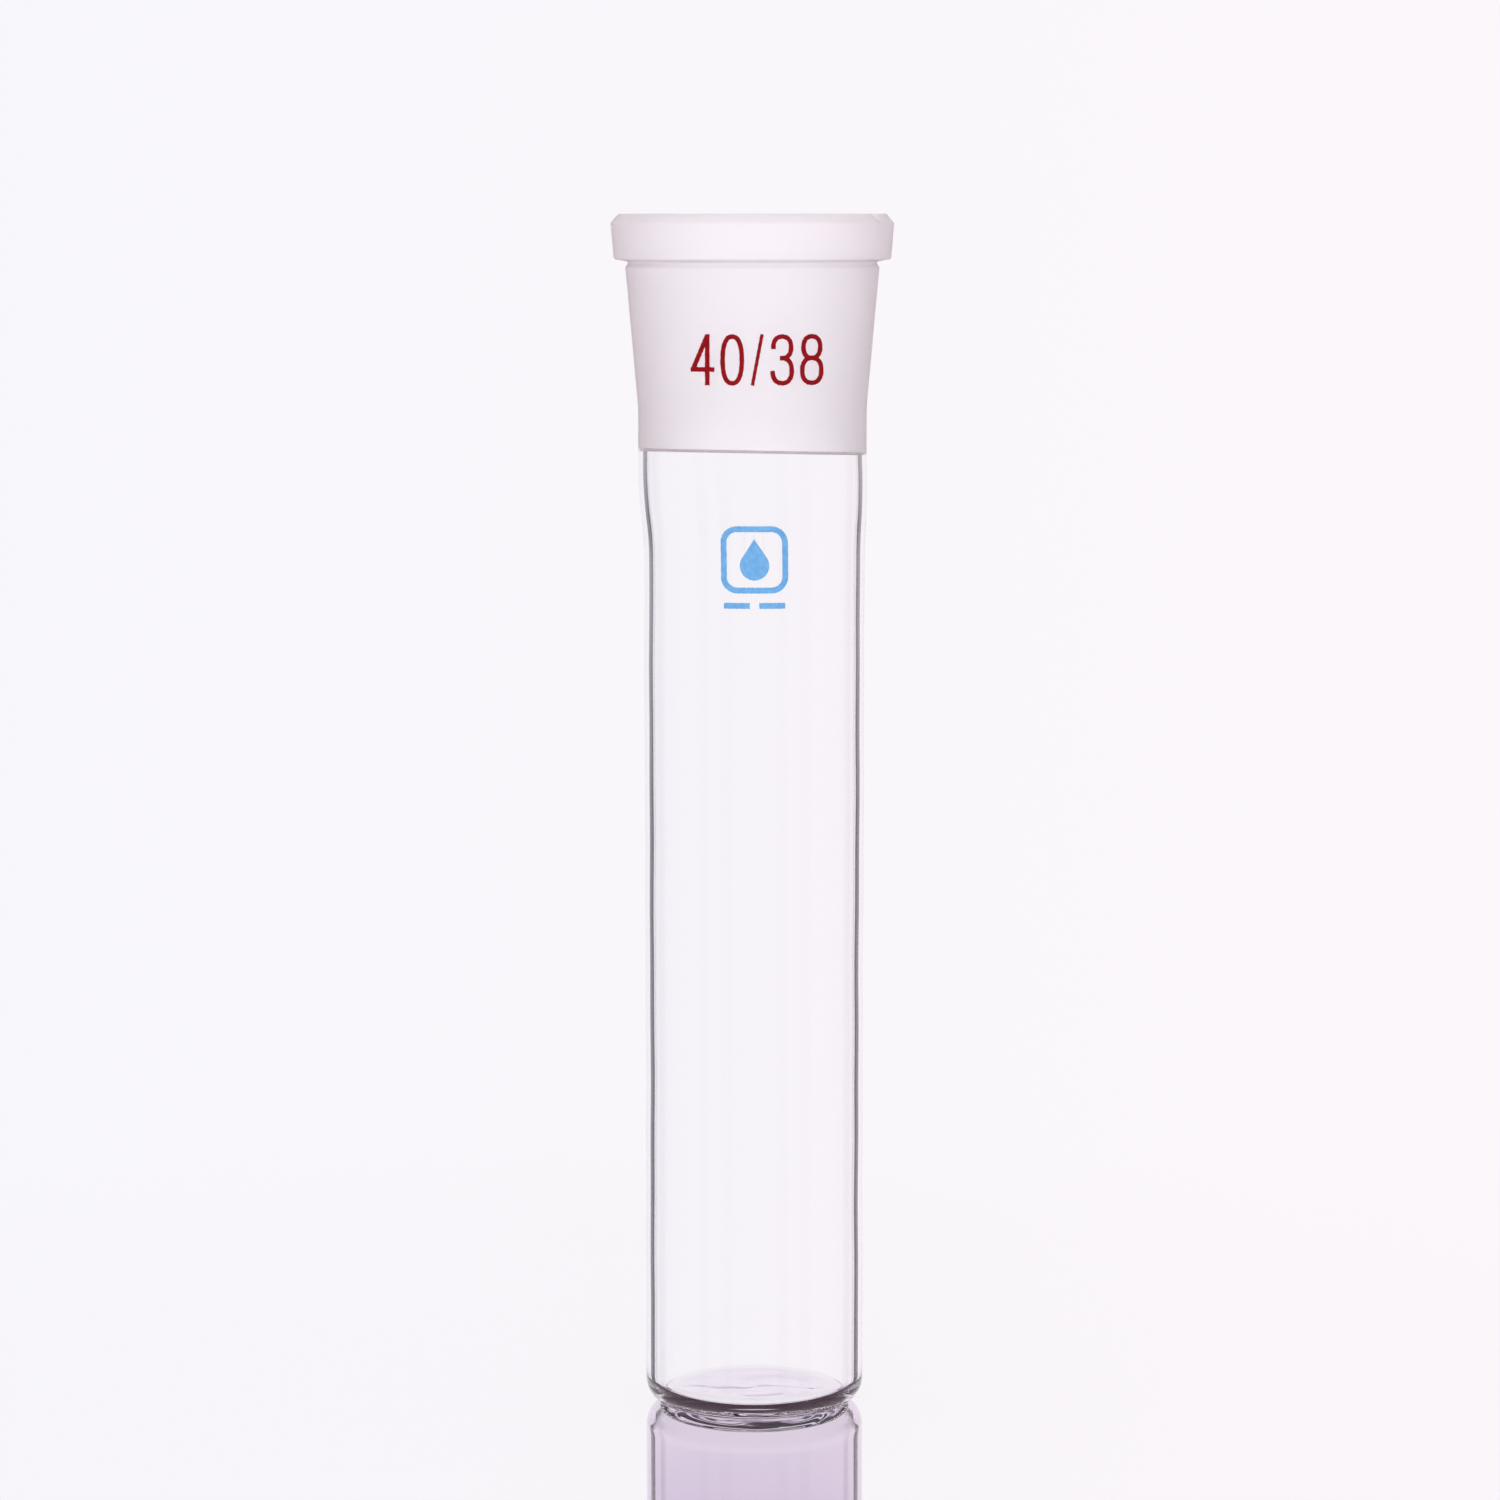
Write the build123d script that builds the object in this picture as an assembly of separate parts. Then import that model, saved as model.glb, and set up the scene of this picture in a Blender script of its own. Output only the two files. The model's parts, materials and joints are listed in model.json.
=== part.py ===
from build123d import *
from math import acos, cos, sin
import os

# Flat-bottomed borosilicate tube with a standard-taper ground socket, in millimetres.
# The origin is the centre of the standing face, +Z runs up to the mouth, and the prints face -Y.

# Overall
overall_height = 207.5

# Ground socket: the bore that a matching cone seats in
taper_diameter = 40.0         # large end of the ground bore
taper_length = 38.0           # height of the ground bore
taper_ratio = 10.0            # the diameter drops by 1 in this many
mouth_lead_depth = 1.2        # bevel from the rim down to the ground bore
mouth_lead_width = 1.1

# Ground socket: the outside of the joint blank
rim_land_width = 1.9          # flat ring at the very top
collar_bevel_width = 1.33     # from the rim land out to the collar's widest edge
collar_bevel_drop = 1.6       # from the rim down to the collar's widest edge
collar_drop = 7.7             # from the rim down to the collar's lower edge
collar_draft = 0.5            # how far the collar's side leans in at its foot
groove_step = 0.5             # from the collar's lower edge down to the groove
groove_wall = 1.53            # glass left beside the groove
shoulder_step = 0.9           # from the groove down to the top edge of the skirt
shoulder_wall = 2.2           # glass at the top edge of the skirt
skirt_straight_length = 6.0   # straight foot of the skirt, above the end of the ground bore
shank_wall = 1.57
shank_length = 7.2            # clear glass between the ground bore and the flame seal
rim_edge_radius = 0.4
collar_edge_radius = 0.35
groove_radius = 0.25
shoulder_radius = 0.2
skirt_foot_radius = 30.0

# Tube
tube_diameter = 38.0
tube_wall = 1.6
flare_length = 13.0           # where the tube opens out to the joint's shank

# Base
floor_thickness = 2.4
heel_radius = 4.0
floor_corner_radius = 1.8
base_skirt = 1.8              # straight wall of the base above its inner corner

# Fired-on prints
enamel_thickness = 0.08
stroke = 0.82                 # width of a line in the size figures
figure_width = 4.0
figure_height = 8.6
figure_gap = 1.0
slash_width = 2.4
mark_drop = 24.4              # from the rim down to the middle of the figures
mark_shift = 0.8              # the figures sit a little right of the centre line
badge_width = 11.4
badge_stroke = 1.0
badge_corner_radius = 2.8
badge_drop = 6.0              # from the flame seal down to the badge's top edge
drop_radius = 2.5             # the droplet inside the badge
drop_height = 7.0
bar_length = 4.4              # the two short bars under the badge
bar_height = 1.0
bar_gap = 1.6
bar_drop = 1.6                # from the badge down to the bars

# Heights above the standing face
ground_top = overall_height - mouth_lead_depth
ground_foot = ground_top - taper_length
seal_height = ground_foot - shank_length
flare_foot = seal_height - flare_length
collar_foot = overall_height - collar_drop
groove_height = collar_foot - groove_step
shoulder_height = groove_height - shoulder_step
skirt_foot = ground_foot + skirt_straight_length
floor_corner_height = floor_thickness + floor_corner_radius
base_height = floor_corner_height + base_skirt
badge_height = seal_height - badge_drop - badge_width / 2
bars_height = badge_height - badge_width / 2 - bar_drop - bar_height / 2


def ground_radius(height):
    """Radius of the 1:10 ground bore at a height."""
    return (taper_diameter - (ground_top - height) / taper_ratio) / 2


# Radii
tube_radius = tube_diameter / 2
bore_radius = tube_radius - tube_wall
mouth_radius = ground_radius(ground_top) + mouth_lead_width
land_radius = mouth_radius + rim_land_width
collar_radius = land_radius + collar_bevel_width
shank_bore_radius = ground_radius(ground_foot)
shank_radius = shank_bore_radius + shank_wall

# The skirt's outer line starts under the small shoulder and runs down to the flame seal
shoulder_edge = Vector(ground_radius(shoulder_height) + shoulder_wall, shoulder_height)
skirt_edge = Vector(shank_radius, skirt_foot)
skirt_start = shoulder_edge + (skirt_edge - shoulder_edge) * 0.05


def rim_line():
    """Outside of the rim, the collar, the groove and the shoulder, down to the skirt."""
    corners = [
        (mouth_radius, overall_height),
        (land_radius, overall_height),
        (collar_radius, overall_height - collar_bevel_drop),
        (collar_radius - collar_draft, collar_foot),
        (ground_radius(groove_height) + groove_wall, groove_height),
        shoulder_edge,
        skirt_start,
    ]
    rounds = [
        rim_edge_radius,
        collar_edge_radius,
        collar_edge_radius,
        groove_radius,
        shoulder_radius,
    ]
    return FilletPolyline(corners, radius=rounds)


def skirt_line():
    """Outside of the skirt and the shank, down to the flame seal."""
    return FilletPolyline(skirt_start, skirt_edge, (shank_radius, seal_height), radius=skirt_foot_radius)


def flare_line(foot_radius, top_radius):
    """The gentle S by which the tube opens out, from its straight part up to the flame seal."""
    foot = (foot_radius, flare_foot)
    top = (top_radius, seal_height)
    middle = ((foot_radius + top_radius) / 2, (flare_foot + seal_height) / 2)
    return TangentArc(foot, middle, tangent=(0, 1)) + TangentArc(top, middle, tangent=(0, -1))


def tube_line():
    """Outside of the tube, from the base up to the flame seal."""
    straight = Line((tube_radius, base_height), (tube_radius, flare_foot))
    return straight + flare_line(tube_radius, shank_radius)


def turned(outline):
    """A closed outline of radius and height, turned about the tube's axis."""
    return revolve(Plane.XZ * make_face(outline), Axis.Z)


def ground_socket():
    """Rim, collar, skirt and shank outside, ground bore inside, all one moulding."""
    bore = Polyline(
        (shank_radius, seal_height),
        (shank_bore_radius, seal_height),
        (shank_bore_radius, ground_foot),
        (ground_radius(ground_top), ground_top),
        (mouth_radius, overall_height),
    )
    return turned(rim_line() + skirt_line() + bore)


def tube_body():
    """Drawn tubing, with its top opened out to meet the shank."""
    outline = tube_line()
    outline += Line((shank_radius, seal_height), (shank_bore_radius, seal_height))
    outline += flare_line(bore_radius, shank_bore_radius)
    outline += Line((bore_radius, flare_foot), (bore_radius, base_height))
    outline += Line((bore_radius, base_height), (tube_radius, base_height))
    return turned(outline)


def flat_base():
    """Flat floor with a rounded heel outside and a rounded corner inside."""
    heel_start = (tube_radius - heel_radius, 0)
    heel_end = (tube_radius, heel_radius)
    corner_start = (bore_radius, floor_corner_height)
    corner_end = (bore_radius - floor_corner_radius, floor_thickness)
    outline = Line((0, 0), heel_start)
    outline += TangentArc(heel_start, heel_end, tangent=(1, 0))
    outline += Polyline(heel_end, (tube_radius, base_height), (bore_radius, base_height), corner_start)
    outline += TangentArc(corner_start, corner_end, tangent=(0, -1))
    outline += Polyline(corner_end, (0, floor_thickness), (0, 0))
    return turned(outline)


def enamel_skin(outside):
    """A film of enamel thickness on one piece's outside line, all the way round."""
    film = outside.moved(Pos(enamel_thickness, 0))
    ends = Line(outside @ 0, film @ 0) + Line(outside @ 1, film @ 1)
    return turned(Curve() + outside + film + ends)


def fired_on(design, across, height, outside):
    """A flat design pressed onto the front of a piece as a film of enamel."""
    stamp = extrude(Plane.XZ * Pos(across, height) * design, amount=collar_radius)
    return stamp & enamel_skin(outside)


def loop(width, height):
    """An oval line of one stroke."""
    return Ellipse(width / 2, height / 2) - Ellipse(width / 2 - stroke, height / 2 - stroke)


def bar(start, end):
    """A straight line of one stroke with square ends."""
    return trace(Line(start, end), stroke)


def figure_four():
    stem = figure_width * 0.2
    low = -figure_height * 0.19
    half = figure_height / 2
    left = -figure_width / 2
    upright = bar((stem, -half), (stem, half))
    cross = bar((left, low), (figure_width / 2, low))
    slope = bar((left + stroke / 2, low), (stem - stroke * 0.1, half - stroke / 2))
    return upright + cross + slope


def figure_zero():
    return loop(figure_width, figure_height)


def slash():
    half = figure_height / 2
    lean = (slash_width - stroke) / 2
    return bar((-lean, -half), (lean, half))


def eight_loops(upper_width):
    """The two stacked loops that an eight and a three are made from."""
    upper_height = (figure_height + stroke) * 0.47
    lower_height = figure_height + stroke - upper_height
    upper = Pos(0, (figure_height - upper_height) / 2) * loop(upper_width, upper_height)
    lower = Pos(0, (lower_height - figure_height) / 2) * loop(figure_width, lower_height)
    return upper + lower


def figure_eight():
    return eight_loops(figure_width * 0.9)


def figure_three():
    """The eight's loops, opened on their left between the two ends of the stroke."""
    opening = Pos(-figure_width / 2, 0) * Rectangle(figure_width, figure_height * 0.42)
    waist = (figure_height + stroke) * 0.03
    tongue = Pos(0, waist) * bar((-stroke / 2, 0), (stroke, 0))
    return eight_loops(figure_width * 0.94) - opening + tongue


def size_mark():
    """The standard-taper size, nominal diameter over ground length, as five figures in a row."""
    row = [figure_four(), figure_zero(), slash(), figure_three(), figure_eight()]
    widths = [figure_width, figure_width, slash_width, figure_width, figure_width]
    left = mark_shift - (sum(widths) + figure_gap * (len(row) - 1)) / 2
    height = overall_height - mark_drop
    figures = Part()
    for figure, width in zip(row, widths):
        figures += fired_on(figure, left + width / 2, height, skirt_line())
        left += width + figure_gap
    return figures


def droplet():
    """A round drop with a straight-sided point, centred on its height."""
    centre = drop_radius - drop_height / 2
    reach = drop_height - drop_radius
    angle = acos(drop_radius / reach)
    side = drop_radius * sin(angle)
    shoulder = centre + drop_radius * cos(angle)
    point = make_face(Polyline((0, centre), (side, shoulder), (0, centre + reach), (-side, shoulder), close=True))
    return Pos(0, centre) * Circle(drop_radius) + point


def tube_emblem():
    """A plain badge with a droplet in it, over two short bars."""
    inside_width = badge_width - 2 * badge_stroke
    frame = RectangleRounded(badge_width, badge_width, badge_corner_radius)
    frame -= RectangleRounded(inside_width, inside_width, badge_corner_radius - badge_stroke)
    emblem = fired_on(frame, 0, badge_height, tube_line())
    emblem += fired_on(droplet(), 0, badge_height, tube_line())
    short_bar = Rectangle(bar_length, bar_height)
    for side in (-1, 1):
        across = side * (bar_length + bar_gap) / 2
        emblem += fired_on(short_bar, across, bars_height, tube_line())
    return emblem


os.makedirs("parts", exist_ok=True)
for piece in (ground_socket, tube_body, flat_base, size_mark, tube_emblem):
    export_step(piece(), f"parts/{piece.__name__}.step")
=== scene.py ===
import json
import math

import bmesh
import bpy
import numpy as np
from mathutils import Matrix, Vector


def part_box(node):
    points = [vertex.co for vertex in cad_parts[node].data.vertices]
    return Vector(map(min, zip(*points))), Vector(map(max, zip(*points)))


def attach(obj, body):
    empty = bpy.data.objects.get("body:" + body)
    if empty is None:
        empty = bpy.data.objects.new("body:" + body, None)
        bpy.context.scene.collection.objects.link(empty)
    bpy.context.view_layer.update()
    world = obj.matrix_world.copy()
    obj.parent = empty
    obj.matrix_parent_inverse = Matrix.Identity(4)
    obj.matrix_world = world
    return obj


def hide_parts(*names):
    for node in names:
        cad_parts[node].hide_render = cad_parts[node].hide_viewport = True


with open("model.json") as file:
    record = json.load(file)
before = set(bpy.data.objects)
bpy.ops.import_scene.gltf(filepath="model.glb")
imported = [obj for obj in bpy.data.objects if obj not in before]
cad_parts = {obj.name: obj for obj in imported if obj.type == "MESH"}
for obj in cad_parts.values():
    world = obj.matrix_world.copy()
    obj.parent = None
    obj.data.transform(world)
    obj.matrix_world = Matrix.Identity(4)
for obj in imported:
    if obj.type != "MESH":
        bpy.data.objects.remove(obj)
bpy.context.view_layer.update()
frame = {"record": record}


# ---------------------------------------------------------------- Camera
# A long lens some 0.8 m away, level with the rim and tipped down, the way glassware is
# usually shown in a catalogue.

camera_height = 0.2071
camera_distance = 0.8275
camera_across = -0.00077
camera_tip = math.radians(6.351)
sensor_width = 36.0
lens_length = 115.12

lens = bpy.data.cameras.new("bench_camera")
lens.sensor_width = sensor_width
lens.lens = lens_length
camera = bpy.data.objects.new("bench_camera", lens)
camera.location = (camera_across, -camera_distance, camera_height)
camera.rotation_euler = (math.pi / 2 - camera_tip, 0.0, 0.0)
bpy.context.scene.collection.objects.link(camera)
bpy.context.scene.camera = camera
bpy.context.scene.view_settings.view_transform = "Standard"

# Light goes round inside glass many times before it comes out
light_paths = bpy.context.scene.cycles
light_paths.max_bounces = 40
light_paths.glossy_bounces = 32
light_paths.transmission_bounces = 32
light_paths.transparent_max_bounces = 32


# ---------------------------------------------------------------- Ground socket
# The wide mouth of the tube: a moulded borosilicate joint blank with a thick rolled collar.
# Its bore is ground to a 1:10 taper with grit, and the outside is blasted to the same matt
# white, down to a slightly crooked line; the clear shank below is fused to the tube.

MM = 0.001
mounts = {mount["name"]: mount for mount in frame["record"]["mounts"]}
socket_mount = mounts["ground_socket_40_38"]
ground_top = socket_mount["pos_m"][2] / MM
ground_length = socket_mount["dims"]["length_mm"]
bore_top_radius = socket_mount["dims"]["r_mm"]
bore_taper = 0.05             # radius lost for each millimetre of depth
rim_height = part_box("ground_socket")[1].z / MM
seal_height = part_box("ground_socket")[0].z / MM
collar_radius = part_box("ground_socket")[1].x / MM
ground_foot = ground_top - ground_length
shank_bore_radius = bore_top_radius - bore_taper * ground_length
shank_wall = 1.57
shank_radius = shank_bore_radius + shank_wall
mouth_radius = 21.1
land_radius = 23.0
rim_edge_radius = 0.45
collar_edge_radius = 0.40
collar_bevel_drop = 1.6
collar_foot = rim_height - 7.7
groove_height = collar_foot - 0.5
groove_wall = 1.53            # glass left beside the groove
shoulder_height = groove_height - 0.9
shoulder_wall = 2.2           # glass at the top edge of the skirt
skirt_foot = ground_foot + 6.0
frost_height = 167.0          # mean height of the blasted zone's lower edge
frost_tilt_right = -0.019     # how that edge climbs to the right and to the back
frost_tilt_back = -0.046
frost_reach = 5.0             # how far up and down the slant of the edge is carried
ground_runout = 1.8           # how far the grinding trails off below the taper
chip_radius = 23.1            # the small chip in the rim's outer edge
chip_angle = -0.46
chip_below_rim = 0.5          # from the rim down to the chip's middle
chip_size = 0.7
chip_inwards = 0.9            # how deep the bite goes
chip_downwards = 0.5
joint_offset = (-0.36, 0.10)  # how far off the tube's middle the joint was set
facets_round = 288            # facets round the glass
arc_facet = math.radians(13)  # the most that one facet of an arc turns
smooth_glass = 32             # degrees between facets above which an edge is left sharp


def bore_radius_at(height):
    return bore_top_radius - bore_taper * (ground_top - height)


def rounded(corners, step):
    """A line through (radius, height, rounding) corners, with true arcs at them and no
    stretch longer than step."""
    line = []
    for index, (r, z, bend) in enumerate(corners):
        here = np.array((r, z), float)
        if bend == 0 or index in (0, len(corners) - 1):
            line.append(here)
            continue
        before = np.array(corners[index - 1][:2], float) - here
        after = np.array(corners[index + 1][:2], float) - here
        before /= np.linalg.norm(before)
        after /= np.linalg.norm(after)
        half = math.acos(float(np.clip(before @ after, -1, 1))) / 2
        middle = (before + after) / np.linalg.norm(before + after)
        centre = here + middle * bend / math.sin(half)
        start = here + before * bend / math.tan(half)
        end = here + after * bend / math.tan(half)
        a = math.atan2(*(start - centre)[::-1])
        b = math.atan2(*(end - centre)[::-1])
        b = a + (b - a + math.pi) % (2 * math.pi) - math.pi
        count = max(3, math.ceil(abs(b - a) / arc_facet))
        for angle in np.linspace(a, b, count + 1):
            line.append(centre + bend * np.array((math.cos(angle), math.sin(angle))))
    fine = [line[0]]
    for point in line[1:]:
        pieces = max(1, math.ceil(np.linalg.norm(point - fine[-1]) / step))
        fine += [fine[-1] + (point - fine[-1]) * (i + 1) / pieces for i in range(pieces)]
    return [tuple(p) for p in fine]


def swell(x, low, high):
    """0 below low, 1 above high, and a smooth rise between."""
    t = np.clip((x - low) / (high - low), 0, 1)
    return t * t * (3 - 2 * t)


def hand_made(points):
    """Moves points, in millimetres, as the glassblower left the piece: the joint set a
    third of a millimetre off the tube, and the drawn wall never quite straight."""
    moved = np.array(points, float)
    x, y, z = moved.T
    around = np.arctan2(y, x)
    radius = np.hypot(x, y)
    middle = swell(z, 8, 22) * (1 - swell(z, seal_height - 10, seal_height + 12))
    wave = 0.030 * np.sin(z / 7.6 + around + 0.4) + 0.022 * np.sin(z / 3.3 - 2 * around)
    wave += 0.035 * np.sin(z / 21.0 + 2 * around + 2.0)
    seal = 0.07 * np.exp(-((z - seal_height - 1.5) / 2.6) ** 2)
    seal *= 1 + 0.35 * np.sin(3 * around + 0.5)
    grow = 1 + (wave * middle + seal) / np.maximum(radius, 6)
    x, y = x * grow, y * grow
    lean = swell(z, seal_height - 14, seal_height + 6)
    x = x + joint_offset[0] * lean
    y = y + joint_offset[1] * lean
    return np.stack((x, y, z), 1)


def lathe(name, stretches, adjust=None):
    """Turns an outline, given as (material, points) stretches, into one closed mesh. The
    outline closes on itself, or starts and ends on the axis."""
    outline, rows = [], []
    for material, points in stretches:
        start = 0 if not outline else 1
        outline += [np.array(p, float) for p in points[start:]]
        rows += [material] * (len(points) - 1)
    closed = np.linalg.norm(outline[0] - outline[-1]) < 1e-6
    if closed:
        outline = outline[:-1]
    angles = np.arange(facets_round) * 2 * math.pi / facets_round
    points, rings = [], []
    for r, z in outline:
        if r < 1e-6:
            rings.append([len(points)])
            points.append((0, 0, z))
            continue
        rings.append(list(range(len(points), len(points) + facets_round)))
        points += [(r * math.cos(a), r * math.sin(a), z) for a in angles]
    points = np.array(points)
    if adjust is not None:
        points = adjust(points)
    points = hand_made(points) * MM
    mesh = bpy.data.meshes.new(name)
    faces, slots = [], []
    for index, material in enumerate(rows):
        low = rings[index]
        high = rings[(index + 1) % len(rings)]
        for i in range(facets_round):
            j = (i + 1) % facets_round
            face = [low[i % len(low)], low[j % len(low)], high[j % len(high)], high[i % len(high)]]
            faces.append(list(dict.fromkeys(face)))
            slots.append(material)
    mesh.from_pydata(points.tolist(), [], faces)
    mesh.polygons.foreach_set("material_index", slots)
    finish_mesh(mesh, smooth_glass)
    piece = bpy.data.objects.new(name, mesh)
    bpy.context.scene.collection.objects.link(piece)
    return piece


def finish_mesh(mesh, sharp_angle):
    """Turns every face outwards and shades it smooth, but for edges above an angle."""
    work = bmesh.new()
    work.from_mesh(mesh)
    bmesh.ops.recalc_face_normals(work, faces=work.faces)
    work.to_mesh(mesh)
    work.free()
    mesh.polygons.foreach_set("use_smooth", [True] * len(mesh.polygons))
    mesh.set_sharp_from_angle(angle=math.radians(sharp_angle))


def node(tree, kind, **settings):
    made = tree.nodes.new(kind)
    for key, value in settings.items():
        setattr(made, key, value)
    return made


def new_material(name):
    material = bpy.data.materials.new(name)
    material.use_nodes = True
    tree = material.node_tree
    return material, tree, tree.nodes["Principled BSDF"]


def scaled_noise(tree, scale, detail, roughness, stretch=(1, 1, 1)):
    """Noise in the piece's own metres; scale is how many lumps fit in a metre."""
    where = node(tree, "ShaderNodeTexCoord")
    mapping = node(tree, "ShaderNodeMapping")
    mapping.inputs["Scale"].default_value = stretch
    noise = node(tree, "ShaderNodeTexNoise")
    noise.inputs["Scale"].default_value = scale
    noise.inputs["Detail"].default_value = detail
    noise.inputs["Roughness"].default_value = roughness
    tree.links.new(where.outputs["Object"], mapping.inputs["Vector"])
    tree.links.new(mapping.outputs["Vector"], noise.inputs["Vector"])
    return noise


def ranged(tree, source, low, high, start, end):
    """Spreads a value that runs from start to end over low to high, and stops there."""
    spread = node(tree, "ShaderNodeMapRange")
    spread.inputs["From Min"].default_value = start
    spread.inputs["From Max"].default_value = end
    spread.inputs["To Min"].default_value = low
    spread.inputs["To Max"].default_value = high
    tree.links.new(source, spread.inputs["Value"])
    return spread.outputs["Result"]


def coloured(tree, source, stops):
    """A colour picked by a 0 to 1 value from (place, colour) stops."""
    ramp = node(tree, "ShaderNodeValToRGB")
    elements = ramp.color_ramp.elements
    while len(elements) < len(stops):
        elements.new(0.5)
    for element, (place, colour) in zip(elements, stops):
        element.position = place
        element.color = (*colour, 1.0)
    tree.links.new(source, ramp.inputs["Fac"])
    return ramp.outputs["Color"]


def bumped(tree, shader, source, depth, strength):
    """Lets a 0 to 1 value raise a surface by a depth in metres."""
    bump = node(tree, "ShaderNodeBump")
    bump.inputs["Strength"].default_value = strength
    bump.inputs["Distance"].default_value = depth
    tree.links.new(source, bump.inputs["Height"])
    tree.links.new(bump.outputs["Normal"], shader.inputs["Normal"])


glass_bend = 1.473            # refractive index of borosilicate glass

# Blasted and ground surface: fine even grit, a touch uneven in how deep it bites
ground_glass, tree, shader = new_material("ground_glass")
grit = scaled_noise(tree, 9000.0, 2.0, 0.6)
cloud = scaled_noise(tree, 160.0, 3.0, 0.55)
shader.inputs["IOR"].default_value = glass_bend
shader.inputs["Transmission Weight"].default_value = 0.6
tint = coloured(tree, cloud.outputs["Fac"], [(0.3, (1.0, 0.970, 0.985)), (0.7, (1.0, 0.985, 0.995))])
tree.links.new(tint, shader.inputs["Base Color"])
tree.links.new(ranged(tree, cloud.outputs["Fac"], 0.50, 0.62, 0.3, 0.7), shader.inputs["Roughness"])
bumped(tree, shader, grit.outputs["Fac"], 0.00003, 0.35)

# Fire-polished and drawn glass: clear, with the faintest waviness left from the flame
clear_glass, tree, shader = new_material("clear_glass")
streaks = scaled_noise(tree, 120.0, 2.0, 0.4, (1.0, 1.0, 0.16))
shader.inputs["IOR"].default_value = glass_bend
shader.inputs["Transmission Weight"].default_value = 1.0
shader.inputs["Base Color"].default_value = (0.995, 0.995, 0.998, 1.0)
tree.links.new(ranged(tree, streaks.outputs["Fac"], 0.0, 0.003, 0.4, 0.9), shader.inputs["Roughness"])
bumped(tree, shader, streaks.outputs["Fac"], 0.00002, 0.5)

# Where two pieces were melted into one there is no surface left to see
fused_seam, tree, shader = new_material("fused_seam")
shader.inputs["Alpha"].default_value = 0.0
shader.inputs["IOR"].default_value = 1.0
shader.inputs["Base Color"].default_value = (1.0, 1.0, 1.0, 1.0)

glass_materials = (clear_glass, fused_seam, ground_glass)
CLEAR, SEAM, GROUND = 0, 1, 2

shoulder_radius = bore_radius_at(shoulder_height) + shoulder_wall
blasted_outside = rounded([
    (mouth_radius, rim_height, 0),
    (mouth_radius + 0.3, rim_height, 0),
    (land_radius, rim_height, rim_edge_radius),
    (collar_radius, rim_height - collar_bevel_drop, collar_edge_radius),
    (collar_radius - 0.5, collar_foot, collar_edge_radius),
    (bore_radius_at(groove_height) + groove_wall, groove_height, 0.3),
    (shoulder_radius, shoulder_height, 0.22),
    (shank_radius, skirt_foot, 30.0),
    (shank_radius, frost_height, 0),
], 1.3)
clear_shank = rounded([(shank_radius, frost_height, 0), (shank_radius, seal_height, 0)], 1.0)
seal_ring = [(shank_radius, seal_height), (shank_bore_radius, seal_height)]
runout_foot = ground_foot - ground_runout
shank_bore = rounded([(shank_bore_radius, seal_height, 0), (shank_bore_radius, runout_foot, 0)], 1.0)
ground_bore = rounded([
    (shank_bore_radius, runout_foot, 0),
    (shank_bore_radius, ground_foot, 0),
    (bore_top_radius, ground_top, 0.8),
    (mouth_radius, rim_height, 0),
], 1.6)


def crooked_frost_and_chip(points):
    """Slants the blasted zone's lower edge, and chips the rim at one place."""
    x, y, z = points.T
    slant = frost_tilt_right * x + frost_tilt_back * y
    near = 1 - swell(np.abs(z - frost_height), 0.3, frost_reach)
    near = near * swell(z, seal_height, seal_height + 1.0)
    z = z + slant * near
    chip_x, chip_y = chip_radius * math.cos(chip_angle), chip_radius * math.sin(chip_angle)
    away = np.sqrt((x - chip_x) ** 2 + (y - chip_y) ** 2 + (z - rim_height + chip_below_rim) ** 2)
    bite = np.exp(-(away / chip_size) ** 2)
    shrink = 1 - chip_inwards * bite / chip_radius
    return np.stack((x * shrink, y * shrink, z - chip_downwards * bite), 1)


ground_socket = lathe("ground_socket_glass", [
    (GROUND, blasted_outside),
    (CLEAR, clear_shank),
    (SEAM, seal_ring),
    (CLEAR, shank_bore),
    (GROUND, ground_bore),
], crooked_frost_and_chip)
for material in glass_materials:
    ground_socket.data.materials.append(material)
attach(ground_socket, "root")
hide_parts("ground_socket")


# ---------------------------------------------------------------- Tube
# A length of drawn 38 mm borosilicate tubing, clear and thin-walled. Its top was opened out
# in the flame to meet the joint's shank, and both ends are fused to their neighbours.

clamp_mount = mounts["clamp_length"]
tube_radius = clamp_mount["dims"]["r_mm"]
tube_wall = 1.6
bore_radius = tube_radius - tube_wall
base_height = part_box("tube_body")[0].z / MM
flare_length = 13.0           # where the tube opens out to the joint's shank
flare_foot = seal_height - flare_length


def flare(foot_radius, top_radius):
    """The soft S by which the tube opens out, from its straight part to the seal."""
    line = []
    for t in np.linspace(0, 1, 15):
        rise = 2 * t * t if t < 0.5 else 1 - 2 * (1 - t) ** 2
        line.append((foot_radius + (top_radius - foot_radius) * rise, flare_foot + flare_length * t))
    return line


tube_outside = rounded([(tube_radius, base_height, 0), (tube_radius, flare_foot, 0)], 2.8)
tube_bore = rounded([(bore_radius, flare_foot, 0), (bore_radius, base_height, 0)], 2.8)
tube_body = lathe("tube_glass", [
    (CLEAR, tube_outside + flare(tube_radius, shank_radius)[1:]),
    (SEAM, seal_ring),
    (CLEAR, flare(bore_radius, shank_bore_radius)[::-1] + tube_bore[1:]),
    (SEAM, [(bore_radius, base_height), (tube_radius, base_height)]),
])
for material in glass_materials[:2]:
    tube_body.data.materials.append(material)
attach(tube_body, "root")
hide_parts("tube_body")


# ---------------------------------------------------------------- Flat base
# The bottom was closed in the flame and pressed flat on a graphite plate: a thick floor with
# a round heel, a shallow hollow underneath, and an inside surface that set a little uneven.

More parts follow.
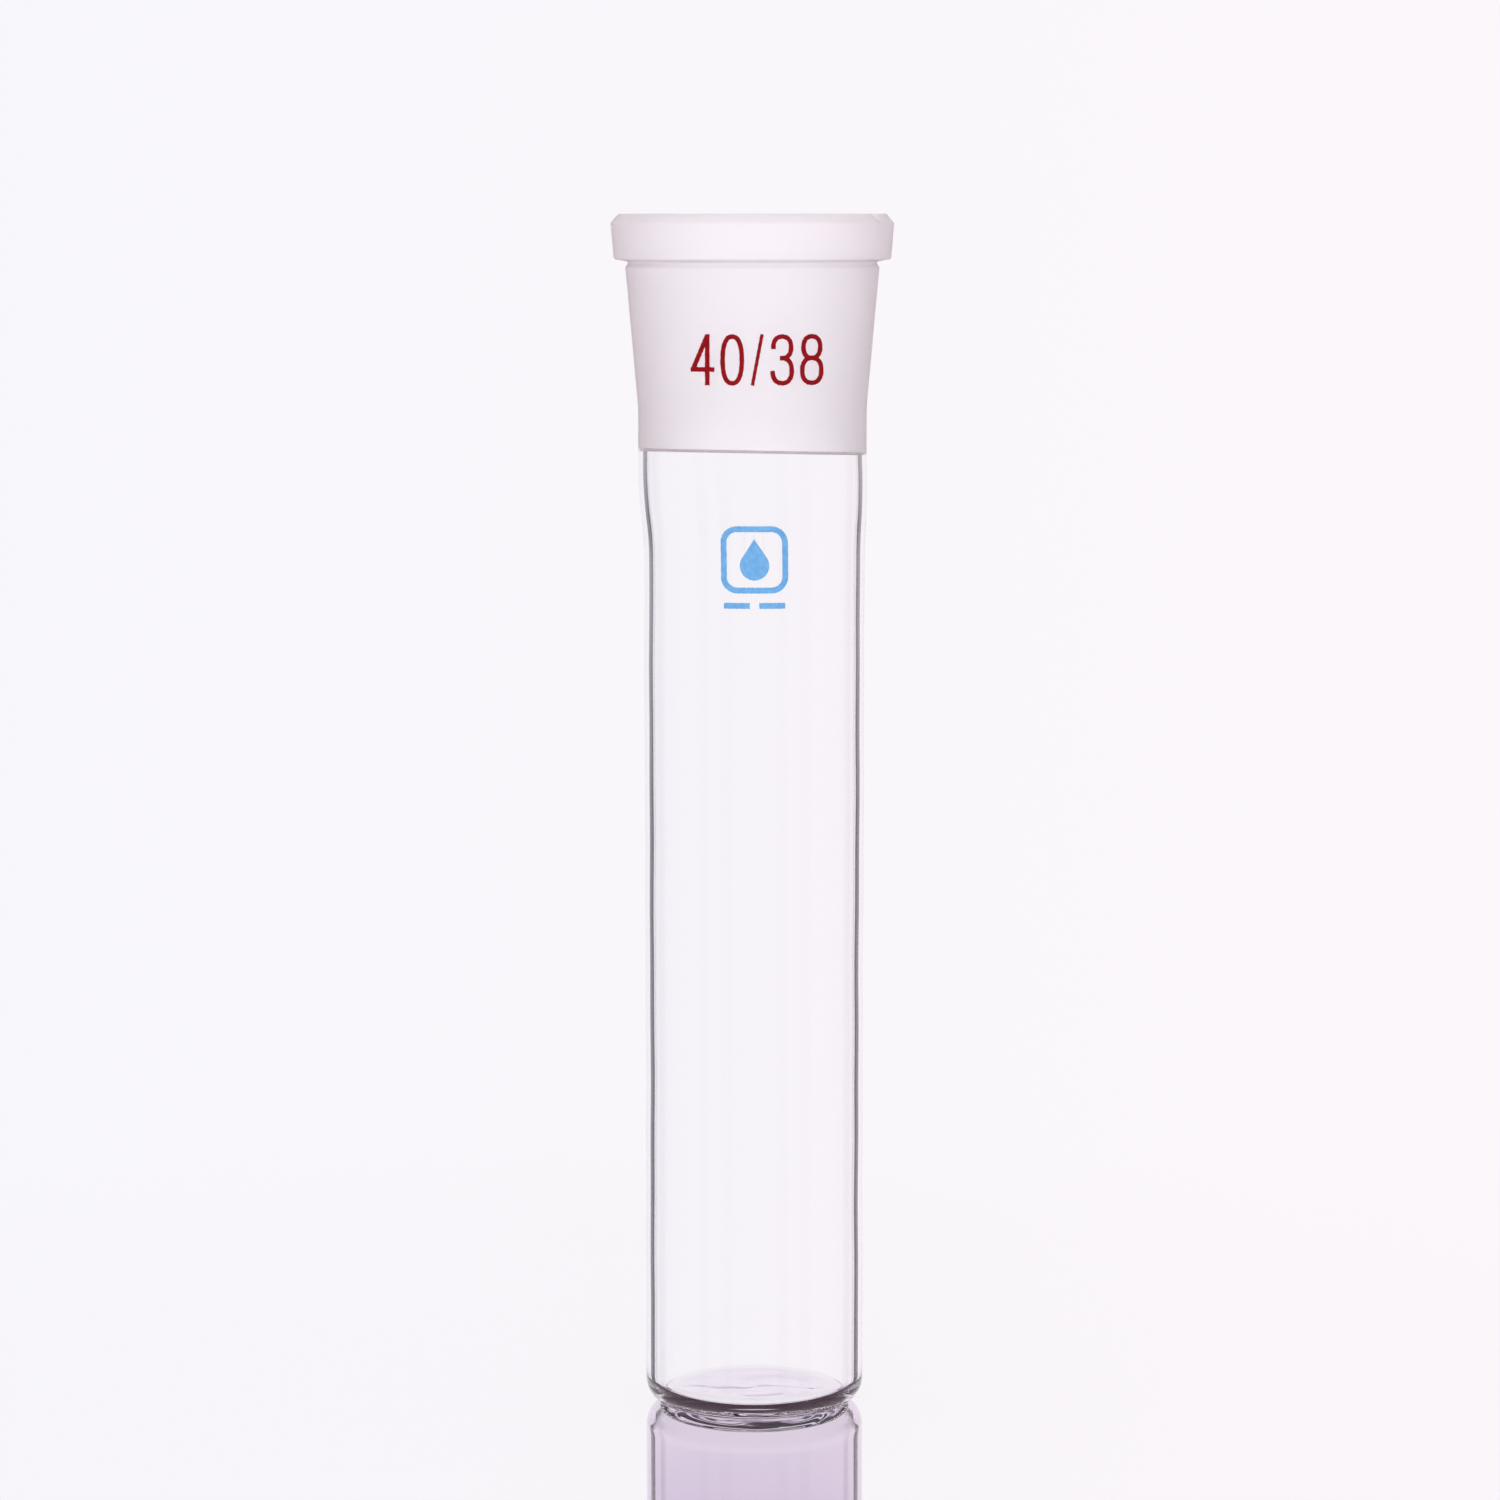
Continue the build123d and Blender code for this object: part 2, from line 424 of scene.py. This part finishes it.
floor_height = 2.4
heel_radius = 4.1
floor_corner = 2.2
crease_radius = 15.9          # the fine furrow round the floor, at the foot of the corner
crease_depth = 0.25
base_underside = rounded([
    (0.0, 0.05, 0),
    (13.5, 0.0, 9.0),
    (tube_radius, 0.0, heel_radius),
    (tube_radius, base_height, 0),
], 0.9)
base_inside = rounded([
    (bore_radius, base_height, 0),
    (bore_radius, floor_height + 1.5, floor_corner),
    (crease_radius + 0.4, floor_height + 0.15, 0.15),
    (crease_radius, floor_height - crease_depth, 0.15),
    (crease_radius - 0.5, floor_height, 0.2),
    (0.0, floor_height, 0),
], 0.9)


def uneven_floor(points):
    """The floor glass froze with low swirls, a curved ripple at the front and a thread
    across its middle, and the edge of the hollow underneath wanders."""
    x, y, z = points.T
    around = np.arctan2(y, x)
    radius = np.hypot(x, y)
    inside = swell(z, 1.5, 2.2)
    inner = inside * (1 - swell(radius, 6.0, 15.0))
    swirl = 0.05 * np.sin(radius / 2.2 + 2 * around) + 0.03 * np.sin(x / 2.6 + 1.1)
    swirl = swirl * swell(radius, 0.5, 4.0)
    front = (around + math.pi / 2 - 0.13) / 0.50
    ripple = np.exp(-((radius - 8.2) / 0.9) ** 2 - front ** 4)
    thread = np.exp(-((y + 1.2 - 0.8 * np.sin(x / 2.3) - 0.3 * np.sin(x / 0.9)) / 0.7) ** 2)
    thread = thread * (1 - swell(radius, 11, 14))
    z = z + inner * swirl - inside * (0.18 * ripple + 0.04 * thread)
    under = (1 - swell(z, 0.3, 1.2)) * swell(radius, 6, 10) * (1 - swell(radius, 15.0, 15.5))
    spread = 1 + under * (0.02 * np.sin(2 * around + 0.7) + 0.008 * np.sin(5 * around))
    return np.stack((x * spread, y * spread, z), 1)


flat_base = lathe("base_glass", [
    (CLEAR, base_underside),
    (SEAM, [(tube_radius, base_height), (bore_radius, base_height)]),
    (CLEAR, base_inside),
], uneven_floor)
for material in glass_materials[:2]:
    flat_base.data.materials.append(material)
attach(flat_base, "root")
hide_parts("flat_base")


# ---------------------------------------------------------------- Size figures
# The standard taper size in red ceramic enamel, screened onto the frosted skirt and fired
# on: nominal diameter over ground length.

film_sunk = 0.004             # the enamel's root below the glass surface
film_raised = 0.055
stroke = 0.78
figure_width = 4.0
figure_height = 8.6
figure_gap = 1.0
slash_width = 2.4
slash_stroke = 0.58
figures_middle = rim_height - 24.4
figures_shift = 0.8
screen_step = 0.10            # how finely an enamel shape is cut
screen_margin = 0.3           # room left round a shape for its ragged edge
smooth_enamel = 50            # degrees above which an edge of the film is left sharp
oval_power = 2.3              # 2 is an ellipse, and more is squarer


def line_shape(u, v, start, end, width):
    """Distance from a straight stroke with square ends, less than 0 inside it."""
    start, end = np.array(start, float), np.array(end, float)
    length = np.linalg.norm(end - start)
    along = (end - start) / length
    du, dv = u - start[0], v - start[1]
    forward = du * along[0] + dv * along[1]
    sideways = np.abs(dv * along[0] - du * along[1])
    return np.maximum(np.abs(forward - length / 2) - length / 2, sideways - width / 2)


def oval_ring(u, v, width, height):
    """Distance from the line of an upright oval, a little squarer than an ellipse."""
    a, b = (width - stroke) / 2, (height - stroke) / 2
    whole = np.maximum(np.abs(u / a) ** oval_power + np.abs(v / b) ** oval_power, 1e-6)
    level = whole ** (1 / oval_power)
    slope_u = np.abs(u) ** (oval_power - 1) / a ** oval_power
    slope_v = np.abs(v) ** (oval_power - 1) / b ** oval_power
    steepness = np.maximum(np.hypot(slope_u, slope_v) * level / whole, 0.05)
    return np.abs(level - 1) / steepness - stroke / 2


def figure_four(u, v):
    stem = figure_width * 0.2
    low = -figure_height * 0.19
    half = figure_height / 2
    left = -figure_width / 2
    shape = line_shape(u, v, (stem, -half), (stem, half), stroke)
    shape = np.minimum(shape, line_shape(u, v, (left, low), (figure_width / 2, low), stroke))
    slope = line_shape(u, v, (left + stroke / 2, low), (stem - stroke * 0.1, half - stroke / 2), stroke)
    return np.minimum(shape, slope)


def figure_zero(u, v):
    return oval_ring(u, v, figure_width, figure_height)


def figure_slash(u, v):
    lean = (slash_width - stroke) / 2
    half = figure_height / 2
    return line_shape(u, v, (-lean, -half), (lean, half), slash_stroke)


def stacked_loops(u, v, upper_width):
    """The two loops that an eight and a three are made from."""
    upper = (figure_height + stroke) * 0.47
    lower = figure_height + stroke - upper
    top = oval_ring(u, v - (figure_height - upper) / 2, upper_width, upper)
    foot = oval_ring(u, v - (lower - figure_height) / 2, figure_width, lower)
    return np.minimum(top, foot)


def figure_eight(u, v):
    return stacked_loops(u, v, figure_width * 0.9)


def figure_three(u, v):
    """The loops opened on their left, between the two ends of the stroke."""
    shape = stacked_loops(u, v, figure_width * 0.94)
    opening = np.maximum(u, np.abs(v) - figure_height * 0.21)
    waist = (figure_height + stroke) * 0.03
    tongue = line_shape(u, v - waist, (-stroke / 2, 0), (stroke, 0), stroke)
    return np.minimum(np.maximum(shape, -opening), tongue)


def screened(name, shapes, surface_radius):
    """Cuts each (left, right, low, high, distance) shape out of a thin film that lies on
    the front of the glass, and closes it into a solid with walls."""
    points, faces = [], []
    for left, right, low, high, distance in shapes:
        us = np.arange(left - screen_margin, right + screen_margin + screen_step, screen_step)
        vs = np.arange(low - screen_margin, high + screen_margin + screen_step, screen_step)
        grid_u, grid_v = np.meshgrid(us, vs, indexing="ij")
        ragged = 0.018 * np.sin(grid_u * 9.1 + grid_v * 3.7)
        ragged = ragged + 0.015 * np.sin(grid_v * 12.3 - grid_u * 5.1)
        depth = distance(grid_u, grid_v) + ragged
        depth[np.abs(depth) < 1e-4] = 1e-4
        known, flat, cells = {}, [], []

        def corner(key, u, v):
            if key not in known:
                known[key] = len(flat)
                flat.append((u, v))
            return known[key]

        for i in range(len(us) - 1):
            for j in range(len(vs) - 1):
                ring = [(i, j), (i + 1, j), (i + 1, j + 1), (i, j + 1)]
                values = [depth[p] for p in ring]
                if min(values) > 0:
                    continue
                cell = []
                for k in range(4):
                    a, b = ring[k], ring[(k + 1) % 4]
                    if values[k] < 0:
                        cell.append(corner(a, us[a[0]], vs[a[1]]))
                    if values[k] * values[(k + 1) % 4] < 0:
                        share = values[k] / (values[k] - values[(k + 1) % 4])
                        u = us[a[0]] + share * (us[b[0]] - us[a[0]])
                        v = vs[a[1]] + share * (vs[b[1]] - vs[a[1]])
                        cell.append(corner((min(a, b), max(a, b)), u, v))
                cells.append(cell)
        edges = {(c[k], c[(k + 1) % len(c)]) for c in cells for k in range(len(c))}
        rim = [(a, b) for a, b in edges if (b, a) not in edges]
        base = len(points)
        count = len(flat)
        for offset in (film_raised, -film_sunk):
            for u, v in flat:
                radius = surface_radius(v) + offset
                points.append((u, -math.sqrt(radius * radius - u * u), v))
        for cell in cells:
            faces.append([base + i for i in cell])
            faces.append([base + count + i for i in reversed(cell)])
        for a, b in sorted(rim):
            faces.append([base + b, base + a, base + count + a, base + count + b])
    mesh = bpy.data.meshes.new(name)
    mesh.from_pydata((hand_made(np.array(points)) * MM).tolist(), [], faces)
    finish_mesh(mesh, smooth_enamel)
    piece = bpy.data.objects.new(name, mesh)
    bpy.context.scene.collection.objects.link(piece)
    return piece


def skirt_radius(height):
    """Outside of the skirt at a height, read off the line it was turned from."""
    radii, heights = zip(*[p for p in blasted_outside if p[1] < shoulder_height - 0.5])
    return float(np.interp(height, heights[::-1], radii[::-1]))


figure_shapes = []
row = (figure_four, figure_zero, figure_slash, figure_three, figure_eight)
widths = [slash_width if figure is figure_slash else figure_width for figure in row]
left_edge = figures_shift - (sum(widths) + figure_gap * (len(row) - 1)) / 2
for figure, width in zip(row, widths):
    middle = left_edge + width / 2
    figure_shapes.append((
        left_edge, left_edge + width,
        figures_middle - figure_height / 2, figures_middle + figure_height / 2,
        lambda u, v, figure=figure, middle=middle: figure(u - middle, v - figures_middle),
    ))
    left_edge += width + figure_gap

# Iron-red glass enamel, fired to a low sheen, thinner where the screen starved it
red_enamel, tree, shader = new_material("red_enamel")
patches = scaled_noise(tree, 900.0, 4.0, 0.6)
pores = scaled_noise(tree, 5200.0, 2.0, 0.5)
tint = coloured(tree, patches.outputs["Fac"], [(0.30, (0.14, 0.0, 0.001)), (0.70, (0.24, 0.0, 0.004))])
shader.inputs["Specular IOR Level"].default_value = 0.2
tree.links.new(tint, shader.inputs["Base Color"])
tree.links.new(ranged(tree, pores.outputs["Fac"], 0.38, 0.60, 0.3, 0.7), shader.inputs["Roughness"])
bumped(tree, shader, pores.outputs["Fac"], 0.00002, 0.5)

size_figures = screened("size_figures", figure_shapes, skirt_radius)
size_figures.data.materials.append(red_enamel)
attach(size_figures, "root")
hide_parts("size_mark")


# ---------------------------------------------------------------- Tube emblem
# A plain badge in pale blue enamel, fired onto the front of the tube below the joint: a
# rounded square with a droplet in it, over two short bars.

badge_width = 11.4
badge_line = 1.0
badge_corner = 2.8
badge_middle = seal_height - 6.0 - badge_width / 2
drop_radius = 2.5             # the droplet inside the badge
drop_height = 7.0
drop_room = 3.6               # half the height that the droplet is cut from
bar_length = 4.4
bar_height = 1.0
bar_gap = 1.6
bar_drop = 1.6                # from the badge down to the bars
bars_middle = badge_middle - badge_width / 2 - bar_drop - bar_height / 2


def round_square(u, v, width, corner):
    """Distance from a square with rounded corners, less than 0 inside it."""
    du = np.abs(u) - width / 2 + corner
    dv = np.abs(v) - width / 2 + corner
    outside = np.hypot(np.maximum(du, 0), np.maximum(dv, 0))
    return outside + np.minimum(np.maximum(du, dv), 0) - corner


def badge_frame(u, v):
    v = v - badge_middle
    inner = round_square(u, v, badge_width - 2 * badge_line, badge_corner - badge_line)
    return np.maximum(round_square(u, v, badge_width, badge_corner), -inner)


def badge_drop(u, v):
    v = v - badge_middle - drop_radius + drop_height / 2
    reach = drop_height - drop_radius
    angle = math.acos(drop_radius / reach)
    slope = np.abs(u) * math.sin(angle) + v * math.cos(angle) - drop_radius
    above = drop_radius * math.cos(angle) - v
    return np.minimum(np.hypot(u, v) - drop_radius, np.maximum(slope, above))


def short_bar(middle):
    def shape(u, v):
        start = (middle - bar_length / 2, bars_middle)
        return line_shape(u, v, start, (middle + bar_length / 2, bars_middle), bar_height)
    return shape


def tube_radius_at(height):
    """Outside of the tube at a height, straight below and opened out above."""
    radii, heights = zip(*flare(tube_radius, shank_radius))
    return float(np.interp(height, heights, radii))


half_badge = badge_width / 2
badge_top = badge_middle + half_badge
badge_foot = badge_middle - half_badge
emblem_shapes = [
    (-half_badge, half_badge, badge_foot, badge_top, badge_frame),
    (-drop_radius, drop_radius, badge_middle - drop_room, badge_middle + drop_room, badge_drop),
]
for side in (-1, 1):
    bar_middle = side * (bar_length + bar_gap) / 2
    emblem_shapes.append((
        bar_middle - bar_length / 2, bar_middle + bar_length / 2,
        bars_middle - bar_height / 2, bars_middle + bar_height / 2,
        short_bar(bar_middle),
    ))

# Pale cobalt enamel, screened thin, with a faint mesh grain
blue_enamel, tree, shader = new_material("blue_enamel")
patches = scaled_noise(tree, 1100.0, 4.0, 0.6)
pores = scaled_noise(tree, 5200.0, 2.0, 0.5)
tint = coloured(tree, patches.outputs["Fac"], [(0.30, (0.075, 0.24, 0.46)), (0.70, (0.125, 0.31, 0.53))])
tree.links.new(tint, shader.inputs["Base Color"])
tree.links.new(ranged(tree, pores.outputs["Fac"], 0.30, 0.50, 0.3, 0.7), shader.inputs["Roughness"])
bumped(tree, shader, pores.outputs["Fac"], 0.00002, 0.5)

tube_badge = screened("tube_badge", emblem_shapes, tube_radius_at)
tube_badge.data.materials.append(blue_enamel)
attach(tube_badge, "root")
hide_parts("tube_emblem")


# ---------------------------------------------------------------- Bench and light
# A polished pale bench top that fades into a pale surround lit from all round. Light that
# has been through the glass also meets dark cards, a dark room and a tinted mirror image,
# which draw the thin dark lines of the glass; matt surfaces have a light of their own.

bench_radius = 0.27
bench_drop = 0.00005          # the bench lies this far under the glass
bench_polish = 0.92           # share of the bench's light that is mirrored
bench_fade = (0.13, 0.26)
card_turn = math.radians(45)  # the cards within this angle of straight behind are blackest
card_colour = (0.030, 0.005, 0.020)
mirror_tint_near = (0.77, 0.69, 0.80)
mirror_tint_far = (0.68, 0.58, 0.73)
mirror_tint_fade = (0.247, 0.263)  # how far off level the near tint gives way to the far
side_card_fade = (0.22, 0.29)      # how far off level the side cards darken
room_fade = (0.27, 0.40)           # how far off level the dark room begins
matt_side_light = (0.61, 0.52, 0.56)
matt_top_light = (0.86, 0.82, 0.86)


def maths(tree, operation, first, second=None):
    made = node(tree, "ShaderNodeMath", operation=operation)
    for socket, value in zip(made.inputs, (first, second)):
        if isinstance(value, (int, float)):
            socket.default_value = value
        elif value is not None:
            tree.links.new(value, socket)
    return made.outputs["Value"]


def blended(tree, share, first, second, how="MIX"):
    mix = node(tree, "ShaderNodeMix", data_type="RGBA", blend_type=how)
    for index, value in ((0, share), (6, first), (7, second)):
        if isinstance(value, float):
            mix.inputs[index].default_value = value
        elif isinstance(value, tuple):
            mix.inputs[index].default_value = (*value, 1.0)
        else:
            tree.links.new(value, mix.inputs[index])
    return mix.outputs[2]


surround = bpy.data.worlds.new("pale_surround")
bpy.context.scene.world = surround
surround.use_nodes = True
tree = surround.node_tree
tree.nodes.clear()
output = node(tree, "ShaderNodeOutputWorld")
glow = node(tree, "ShaderNodeBackground")
where = node(tree, "ShaderNodeTexCoord")
split = node(tree, "ShaderNodeSeparateXYZ")
tree.links.new(where.outputs["Generated"], split.inputs["Vector"])
heading = maths(tree, "ARCTAN2", split.outputs["X"], split.outputs["Y"])
height = split.outputs["Z"]
turned_by = maths(tree, "ABSOLUTE", heading)
off_level = maths(tree, "ABSOLUTE", height)

# Which light has been through the glass, and which has also been thrown back inside it
path = node(tree, "ShaderNodeLightPath")
sharp = maths(tree, "MAXIMUM", path.outputs["Is Singular Ray"], path.outputs["Is Camera Ray"])
walls = path.outputs["Transmission Depth"]
throws = path.outputs["Glossy Depth"]
through = maths(tree, "GREATER_THAN", walls, 0.5)
through = maths(tree, "MULTIPLY", through, path.outputs["Is Singular Ray"])
thrown = maths(tree, "MULTIPLY", through, maths(tree, "GREATER_THAN", throws, 0.5))
tangled = maths(tree, "MULTIPLY", through, maths(tree, "GREATER_THAN", throws, 1.5))
crossed = maths(tree, "MULTIPLY", thrown, maths(tree, "GREATER_THAN", walls, 3.5))
glint = maths(tree, "SUBTRACT", crossed, maths(tree, "MULTIPLY", crossed, tangled))
mirrored = maths(tree, "MAXIMUM", crossed, tangled)

# Pale all round, a touch bluer to the left and pinker to the right
pale = coloured(tree, ranged(tree, split.outputs["X"], 0.0, 1.0, -0.25, 0.25), [
    (0.0, (0.930, 0.925, 0.965)), (1.0, (0.980, 0.932, 0.962)),
])
tint = coloured(tree, ranged(tree, off_level, 0.0, 1.0, *mirror_tint_fade), [
    (0.0, mirror_tint_near), (1.0, mirror_tint_far),
])
pale = blended(tree, mirrored, pale, blended(tree, 1.0, pale, tint, "MULTIPLY"))

# Eight upright cards; the pair behind the piece is the blackest
quarter = maths(tree, "COSINE", maths(tree, "MULTIPLY", heading, 4.0))
card = coloured(tree, ranged(tree, quarter, 0.0, 1.0, -1.0, 1.0), [
    (0.00, (0, 0, 0)), (0.035, (0, 0, 0)), (0.075, (1, 1, 1)),
    (0.37, (1, 1, 1)), (0.43, (0, 0, 0)),
])
others = ranged(tree, off_level, 0.35, 0.90, *side_card_fade)
behind = maths(tree, "LESS_THAN", turned_by, card_turn)
behind = maths(tree, "MAXIMUM", behind, others)
level = coloured(tree, off_level, [
    (0.03, (0.75, 0.75, 0.75)), (0.13, (1, 1, 1)), (0.45, (1, 1, 1)), (0.60, (0, 0, 0)),
])
card = maths(tree, "MULTIPLY", maths(tree, "MULTIPLY", card, level), behind)

# The mirror image in the bench shows no card, or only the pair behind where it is tangled
aside = maths(tree, "GREATER_THAN", turned_by, card_turn)
hidden = maths(tree, "MAXIMUM", glint, maths(tree, "MULTIPLY", crossed, aside))
card = maths(tree, "MULTIPLY", card, maths(tree, "SUBTRACT", through, hidden))

# The dark room above and below the surround, met only by light thrown about in the glass
room = ranged(tree, off_level, 0.0, 1.0, *room_fade)
room = maths(tree, "MULTIPLY", room, maths(tree, "SUBTRACT", thrown, crossed))
dark = maths(tree, "MAXIMUM", card, room)
seen = blended(tree, dark, pale, card_colour)

# Matt surfaces are lit mostly from above, and less from the sides
overhead = coloured(tree, height, [(0.0, matt_side_light), (1.0, matt_top_light)])
tree.links.new(blended(tree, sharp, overhead, seen), glow.inputs["Color"])
tree.links.new(glow.outputs["Background"], output.inputs["Surface"])

bench_mesh = bpy.data.meshes.new("bench_top")
work = bmesh.new()
bmesh.ops.create_circle(work, cap_ends=True, segments=128, radius=bench_radius)
work.to_mesh(bench_mesh)
work.free()
bench = bpy.data.objects.new("bench_top", bench_mesh)
bench.location = (0, 0, -bench_drop)
bpy.context.scene.collection.objects.link(bench)
bench_top, tree, shader = new_material("bench_top")
tree.nodes.clear()
output = node(tree, "ShaderNodeOutputMaterial")
matt = node(tree, "ShaderNodeBsdfDiffuse")
matt.inputs["Color"].default_value = (0.93, 0.93, 0.95, 1.0)
polish = node(tree, "ShaderNodeBsdfGlossy")
polish.inputs["Color"].default_value = (1.0, 1.0, 1.0, 1.0)
polish.inputs["Roughness"].default_value = 0.0
skin = node(tree, "ShaderNodeMixShader")
skin.inputs[0].default_value = bench_polish
tree.links.new(matt.outputs["BSDF"], skin.inputs[1])
tree.links.new(polish.outputs["BSDF"], skin.inputs[2])
spot = node(tree, "ShaderNodeNewGeometry")
length = node(tree, "ShaderNodeVectorMath", operation="LENGTH")
tree.links.new(spot.outputs["Position"], length.inputs[0])
fade = node(tree, "ShaderNodeMapRange", interpolation_type="SMOOTHSTEP")
fade.inputs["From Min"].default_value, fade.inputs["From Max"].default_value = bench_fade
tree.links.new(length.outputs["Value"], fade.inputs["Value"])
# Light that has already been through the glass meets the same pale surround below
straight = node(tree, "ShaderNodeLightPath")
spent = maths(tree, "ADD", straight.outputs["Transmission Depth"], straight.outputs["Diffuse Depth"])
spent = maths(tree, "GREATER_THAN", spent, 0.5)
nothing = node(tree, "ShaderNodeBsdfTransparent")
edge = node(tree, "ShaderNodeMixShader")
tree.links.new(maths(tree, "MAXIMUM", fade.outputs["Result"], spent), edge.inputs[0])
tree.links.new(skin.outputs["Shader"], edge.inputs[1])
tree.links.new(nothing.outputs["BSDF"], edge.inputs[2])
tree.links.new(edge.outputs["Shader"], output.inputs["Surface"])
bench.data.materials.append(bench_top)


def soft_lamp(name, strength, aim):
    """A broad lamp that lights matt surfaces and leaves no glint on the clear glass."""
    data = bpy.data.lights.new(name, "SUN")
    data.energy = strength
    data.color = (0.90, 0.97, 1.0)
    data.angle = math.radians(50)
    lamp = bpy.data.objects.new(name, data)
    lamp.rotation_euler = Vector(aim).to_track_quat("-Z", "Y").to_euler()
    lamp.visible_glossy = False
    lamp.visible_transmission = False
    bpy.context.scene.collection.objects.link(lamp)


soft_lamp("front_lamp", 3.3, (0.02, 1.0, 0.0))
soft_lamp("back_lamp", 1.6, (-0.1, -1.0, -0.1))


bpy.context.view_layer.update()
